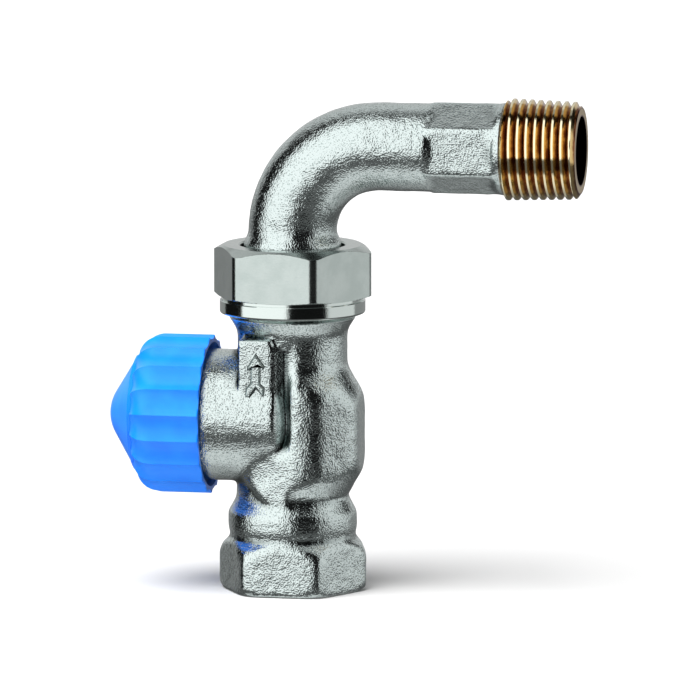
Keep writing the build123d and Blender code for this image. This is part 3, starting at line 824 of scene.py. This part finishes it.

# Flow sign. A raised arrow with a split tail stands on the pad at each side of the body. It is
# cast with the body and slopes up from its foot; shade is painted dark at its foot and fades up the
# slopes.
arrow_outline = (
    (-5.45, 51.15),
    (-3.45, 48.35),
    (-3.80, 47.75),
    (-4.40, 48.10),
    (-4.40, 44.75),
    (-3.50, 43.90),
    (-3.70, 41.60),
    (-5.35, 43.60),
    (-6.60, 41.70),
    (-7.75, 41.80),
    (-7.60, 43.80),
    (-6.60, 44.85),
    (-6.60, 47.60),
    (-7.15, 47.40),
    (-7.35, 48.10),
)
pad_depth = 12.4
arrow_foot = 0.5
arrow_rise = 0.70
arrow_painted_shade = 1.0
arrow_slope = 0.48
for side, name in ((-1, "flow_sign_front"), (1, "flow_sign_back")):
    shape = bmesh.new()
    corners = [
        shape.verts.new(Vector((x, side * (pad_depth - arrow_foot), z)) * mm)
        for x, z in arrow_outline
    ]
    face = shape.faces.new(corners)
    lifted = bmesh.ops.extrude_face_region(shape, geom=[face])["geom"]
    bmesh.ops.translate(
        shape,
        vec=(0, side * arrow_foot * mm, 0),
        verts=[item for item in lifted if isinstance(item, bmesh.types.BMVert)],
    )
    bmesh.ops.recalc_face_normals(shape, faces=shape.faces)
    top = [item for item in lifted if isinstance(item, bmesh.types.BMFace)]
    bmesh.ops.inset_individual(
        shape,
        faces=top,
        thickness=arrow_slope * mm,
        depth=arrow_rise * mm,
        use_even_offset=True,
    )
    sign_mesh = bpy.data.meshes.new(name)
    shape.to_mesh(sign_mesh)
    shape.free()
    sign = bpy.data.objects.new(name, sign_mesh)
    scene.collection.objects.link(sign)
    # Painted shade: the arrow's foot takes the near-black shade colour, fading towards its top.
    foot = np.abs(points_of(sign_mesh)[:, 1]) < pad_depth + arrow_rise / 2
    hollow_shade_map = sign_mesh.attributes.new("hollow_shade", "FLOAT", "POINT")
    hollow_shade_map.data.foreach_set("value", foot * arrow_painted_shade)
    sign.data.materials.append(cast_nickel)
    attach(sign, "valve_body")

# Union tail. A cast bend with a hexagon, nickel plated with the same rough skin. Its taper thread
# is cut after plating, so it is bare brass.
tail_height = 93.45
tail_cell = 0.36
tail_rounds = 9
tail_waves = ((3.0, 0.06), (1.4, 0.03))
tail_foot = (69.5, 71.0)
tail_thread_start = 45.0
tail_end = 60.9
tail_thread_root = 8.98
tail_taper = 1 / 32


def tail_share(points):
    before_thread = step(points[:, 0], tail_thread_start - 0.2, tail_thread_start - 0.6)
    return before_thread * step(points[:, 2], *tail_foot)


tail = welded_copy("union_tail", "tail_casting")
cast_skin(
    tail,
    tail_cell,
    tail_share,
    tail_rounds,
    tail_waves,
    cuts=(((tail_thread_start, 0, tail_height), (1, 0, 0)),),
)
tail.data.materials.append(cast_nickel)

# The thread's colour holds painted light: its roots are painted dark brown as shade, its crests pale
# cream as a highlight, and noise breaks the edge of the root shade. The end face keeps the flank colour.
root_painted_shade = (0.230, 0.090, 0.035, 1)
flank_brass = (0.720, 0.520, 0.230, 1)
crest_painted_highlight = (0.860, 0.780, 0.540, 1)
flank_from = (0.0, 0.6)
crest_from = (0.84, 0.97)
end_face_inside = (-1.35, -1.25)
end_face_outside = (-0.25, -0.1)
root_shade_spread = 0.8
thread_brass, thread_shading = new_finish("thread_brass")
place = thread_shading.node("ShaderNodeTexCoord", output="Object")
thread_x = thread_shading.node("ShaderNodeSeparateXYZ", inputs={"Vector": place}, output="X")
thread_y = thread_x.other("Y") / mm
thread_z = thread_x.other("Z") / mm - tail_height
reach = thread_shading.math("SQRT", thread_y * thread_y + thread_z * thread_z)
reach = reach - (tail_end - thread_x / mm) * tail_taper
tooth = (reach - tail_thread_root) / pipe_depth
thread_mottle = noise_field(thread_shading, place, 1.6, 3)
out_of_root_shade = (tooth + (thread_mottle - 0.5) * root_shade_spread).ramp(*flank_from)
on_end = tooth.ramp(*end_face_inside) * (1 - tooth.ramp(*end_face_outside))
flank_tone = blend(thread_shading, out_of_root_shade.most(on_end), root_painted_shade, flank_brass)
painted_thread_tone = blend(thread_shading, tooth.ramp(*crest_from), flank_tone, crest_painted_highlight)
thread_shader = thread_shading.node(
    "ShaderNodeBsdfPrincipled",
    inputs={
        "Base Color": painted_thread_tone,
        "Metallic": 1.0,
        "Roughness": 0.08 + 0.08 * thread_mottle,
        "Normal": thread_shading.node(
            "ShaderNodeBump",
            inputs={
                "Strength": 0.5,
                "Distance": 0.02 * mm,
                "Height": noise_field(thread_shading, place, 0.5, 3),
            },
        ),
    },
)
thread_shading.node("ShaderNodeOutputMaterial", inputs={"Surface": thread_shader})
tail_thread = screw_thread(
    "tail_thread",
    length=tail_end - tail_thread_start,
    pitch=pipe_pitch,
    root=tail_thread_root,
    depth=pipe_depth,
    side=1,
    bore=7.2,
    start=(tail_thread_start, 0, tail_height),
    axis=(1, 0, 0),
    finish=thread_brass,
    taper=tail_taper,
)
for piece, finish_slot in ((tail, "nickel_casting"), (tail_thread, "brass_turned")):
    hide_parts("union_tail")
    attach(piece, "tail")

# Union nut. Turned from hexagon bar and nickel plated, with rounded corners, a chamfered top and
# a round collar below. The collar is turned finer, so it is brighter.
collar_top = (61.6, 61.7)
nut_light = (0.500, 0.560, 0.540, 1)
nut_dark = (0.430, 0.490, 0.470, 1)
nut_nickel, plate = new_finish("nut_nickel")
place = plate.node("ShaderNodeTexCoord", output="Object")
plate_z = plate.node("ShaderNodeSeparateXYZ", inputs={"Vector": place}, output="Z")
on_collar = 1 - (plate_z / mm).ramp(*collar_top)
haze = noise_field(plate, place, 4.0, 4)
grain = noise_field(plate, place, 0.35, 2)
plate_tone = blend(plate, haze.ramp(0.3, 0.7), nut_dark, nut_light)
plate_shader = plate.node(
    "ShaderNodeBsdfPrincipled",
    inputs={
        "Base Color": blend(plate, on_collar, plate_tone, satin_light),
        "Metallic": 1.0,
        "Roughness": 0.15 + 0.10 * haze - on_collar * 0.10,
        "Normal": plate.node(
            "ShaderNodeBump",
            inputs={"Strength": 0.6, "Distance": 0.02 * mm, "Height": grain},
        ),
    },
)
plate.node("ShaderNodeOutputMaterial", inputs={"Surface": plate_shader})

nut_columns = 576
nut_turn = -4.2
nut_flat = 15.0
nut_corner_round = 2.8
nut_hole = 11.0
nut_thread = 13.5
nut_collar = 15.2
nut_neck = 14.7
nut_foot = 58.3
nut_groove = 61.1
nut_bar_foot = 61.7
nut_bar_bevel = 0.6
nut_shelf = 69.0
chamfer_wide = 17.32
chamfer_foot = 70.914
chamfer_narrow = 14.4
nut_top = 72.6
hole_chamfer = 0.3
bevel_rows = 8
chamfer_rows = 32
turn = np.arange(nut_columns) * 360 / nut_columns
from_flat = np.radians(np.abs((turn - nut_turn) % 60 - 30))
from_corner = radians(30) - from_flat
corner_centre = (nut_flat - nut_corner_round) / cos(radians(30))
flat_end = np.arctan((nut_flat - nut_corner_round) * np.tan(radians(30)) / nut_flat)
corner_reach = np.sqrt(
    np.maximum(nut_corner_round**2 - (corner_centre * np.sin(from_corner)) ** 2, 0)
)
hexagon = np.where(
    from_flat < flat_end,
    nut_flat / np.cos(from_flat),
    corner_centre * np.cos(from_corner) + corner_reach,
)
nut_outline = [
    (nut_thread, nut_foot),
    (nut_collar - 0.4, nut_foot),
    (nut_collar - 0.12, nut_foot + 0.12),
    (nut_collar, nut_foot + 0.4),
    (nut_collar, nut_foot + 0.48),
    (nut_collar, nut_groove - 0.23),
    (nut_collar, nut_groove - 0.15),
    (nut_collar - 0.1, nut_groove),
    (nut_neck, nut_groove),
    (nut_neck, nut_bar_foot),
]
for part in range(1, bevel_rows + 1):
    limit = nut_collar + (chamfer_wide - nut_collar) * part / bevel_rows
    nut_outline.append((limit, nut_bar_foot + nut_bar_bevel * part / bevel_rows))
for part in range(chamfer_rows + 1):
    limit = chamfer_wide + (chamfer_narrow - chamfer_wide) * part / chamfer_rows
    nut_outline.append((limit, chamfer_foot + (nut_top - chamfer_foot) * part / chamfer_rows))
nut_outline += [
    (nut_hole + hole_chamfer, nut_top),
    (nut_hole, nut_top - hole_chamfer),
    (nut_hole, nut_shelf),
    (nut_thread, nut_shelf),
]
rows = len(nut_outline)
rings = np.zeros((rows, nut_columns, 3))
for row_number, (limit, row_height) in enumerate(nut_outline):
    on_hexagon = limit > nut_collar + 0.001 or (limit > nut_hole + 1 and row_height > nut_shelf)
    reach = np.minimum(hexagon, limit) if on_hexagon else limit
    rings[row_number, :, 0] = reach * np.cos(np.radians(turn))
    rings[row_number, :, 1] = reach * np.sin(np.radians(turn))
    rings[row_number, :, 2] = row_height
numbers = np.arange(rows * nut_columns).reshape(rows, nut_columns)
above = np.roll(numbers, -1, axis=0)
faces = np.stack(
    [numbers, np.roll(numbers, -1, axis=1), np.roll(above, -1, axis=1), above], axis=-1
)
nut_mesh = bpy.data.meshes.new("nut")
nut_mesh.from_pydata((rings.reshape(-1, 3) * mm).tolist(), [], faces.reshape(-1, 4).tolist())
nut = bpy.data.objects.new("nut", nut_mesh)
scene.collection.objects.link(nut)
smooth_faces(nut_mesh, crease=28)
nut.data.materials.append(nut_nickel)
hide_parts("union_nut")
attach(nut, "nut")

# Protective cap. Moulded in blue plastic, with round flutes that run over its shoulder to a blunt
# cone; it screws on the bonnet's thread and holds the pin down.
blue_light = (0.005, 0.225, 0.960, 1)
blue_deep = (0.003, 0.190, 0.920, 1)
blue_plastic, blue = new_finish("blue_plastic")
place = blue.node("ShaderNodeTexCoord", output="Object")
cloud = noise_field(blue, place, 5.0, 3)
mould = noise_field(blue, place, 0.5, 2)
blue_shader = blue.node(
    "ShaderNodeBsdfPrincipled",
    inputs={
        "Base Color": blend(blue, cloud.ramp(0.3, 0.7), blue_deep, blue_light),
        "Roughness": 0.30 + 0.06 * mould,
        "IOR": 1.45,
        "Normal": blue.node(
            "ShaderNodeBump",
            inputs={"Strength": 0.3, "Distance": 0.01 * mm, "Height": mould},
        ),
    },
)
blue.node("ShaderNodeOutputMaterial", inputs={"Surface": blue_shader})

cap_rim = -17.1
cap_rim_foot = 15.9
cap_rim_chamfer = 0.45
rim_edge_turn = 60
cap = welded_copy("protective_cap", "cap")
shape = bmesh.new()
shape.from_mesh(cap.data)
at_rim = {
    point
    for point in shape.verts
    if abs(point.co.x / mm - cap_rim) < 0.01
    and Vector((point.co.y / mm, point.co.z / mm - bonnet_height)).length > cap_rim_foot
}
rim_edges = [
    edge
    for edge in shape.edges
    if at_rim.issuperset(edge.verts) and edge.calc_face_angle(0) > radians(rim_edge_turn)
]
bmesh.ops.bevel(
    shape,
    geom=rim_edges,
    offset=cap_rim_chamfer * mm,
    segments=2,
    profile=0.5,
    affect="EDGES",
    clamp_overlap=True,
)
shape.to_mesh(cap.data)
shape.free()
smooth_faces(cap.data, crease=22)
cap.data.materials.append(blue_plastic)
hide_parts("protective_cap")
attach(cap, "cap")

# Gasket and insert. A fibre ring seals the union. The insert's housing, gland, stem and disc cup
# are turned brass, its spring, pin and washers stainless, its seals and disc rubber.
steel_dark = (0.50, 0.50, 0.51, 1)
steel_light = (0.62, 0.62, 0.63, 1)
steel_finish, steel = new_finish("stainless_steel")
place = steel.node("ShaderNodeTexCoord", output="Object")
draw_marks = noise_field(steel, place, 0.6, 3)
steel_shader = steel.node(
    "ShaderNodeBsdfPrincipled",
    inputs={
        "Base Color": blend(steel, draw_marks.ramp(0.3, 0.7), steel_dark, steel_light),
        "Metallic": 1.0,
        "Roughness": 0.20 + 0.12 * draw_marks,
    },
)
steel.node("ShaderNodeOutputMaterial", inputs={"Surface": steel_shader})

rubber_dark = (0.018, 0.018, 0.018, 1)
rubber_light = (0.040, 0.040, 0.040, 1)
rubber_finish, rubber = new_finish("black_rubber")
place = rubber.node("ShaderNodeTexCoord", output="Object")
bloom = noise_field(rubber, place, 1.0, 3)
rubber_shader = rubber.node(
    "ShaderNodeBsdfPrincipled",
    inputs={
        "Base Color": blend(rubber, bloom, rubber_dark, rubber_light),
        "Roughness": 0.55 + 0.2 * bloom,
    },
)
rubber.node("ShaderNodeOutputMaterial", inputs={"Surface": rubber_shader})

fibre_dark = (0.16, 0.20, 0.17, 1)
fibre_light = (0.30, 0.35, 0.31, 1)
fibre_finish, fibre = new_finish("gasket_fibre")
place = fibre.node("ShaderNodeTexCoord", output="Object")
felt = noise_field(fibre, place, 0.4, 4, 0.7)
fibre_shader = fibre.node(
    "ShaderNodeBsdfPrincipled",
    inputs={
        "Base Color": blend(fibre, felt, fibre_dark, fibre_light),
        "Roughness": 0.85,
        "Normal": fibre.node(
            "ShaderNodeBump",
            inputs={"Strength": 0.8, "Distance": 0.03 * mm, "Height": felt},
        ),
    },
)
fibre.node("ShaderNodeOutputMaterial", inputs={"Surface": fibre_shader})

inner_finishes = {
    "union_gasket": fibre_finish,
    "insert_housing": turned_brass,
    "valve_stem": turned_brass,
    "disc_carrier": turned_brass,
    "disc_nut": turned_brass,
    "gland_nut": turned_brass,
    "gland_guide_washer": turned_brass,
    "spring_seat_washer": steel_finish,
    "return_spring": steel_finish,
    "spring_cup": steel_finish,
    "stem_circlip": steel_finish,
    "disc_washer": steel_finish,
    "pressure_pin": steel_finish,
    "insert_o_ring": rubber_finish,
    "seat_disc": rubber_finish,
    "gland_outer_o_ring": rubber_finish,
    "gland_pin_o_ring": rubber_finish,
}
for node, finish in inner_finishes.items():
    nodes[node].data.materials.clear()
    nodes[node].data.materials.append(finish)
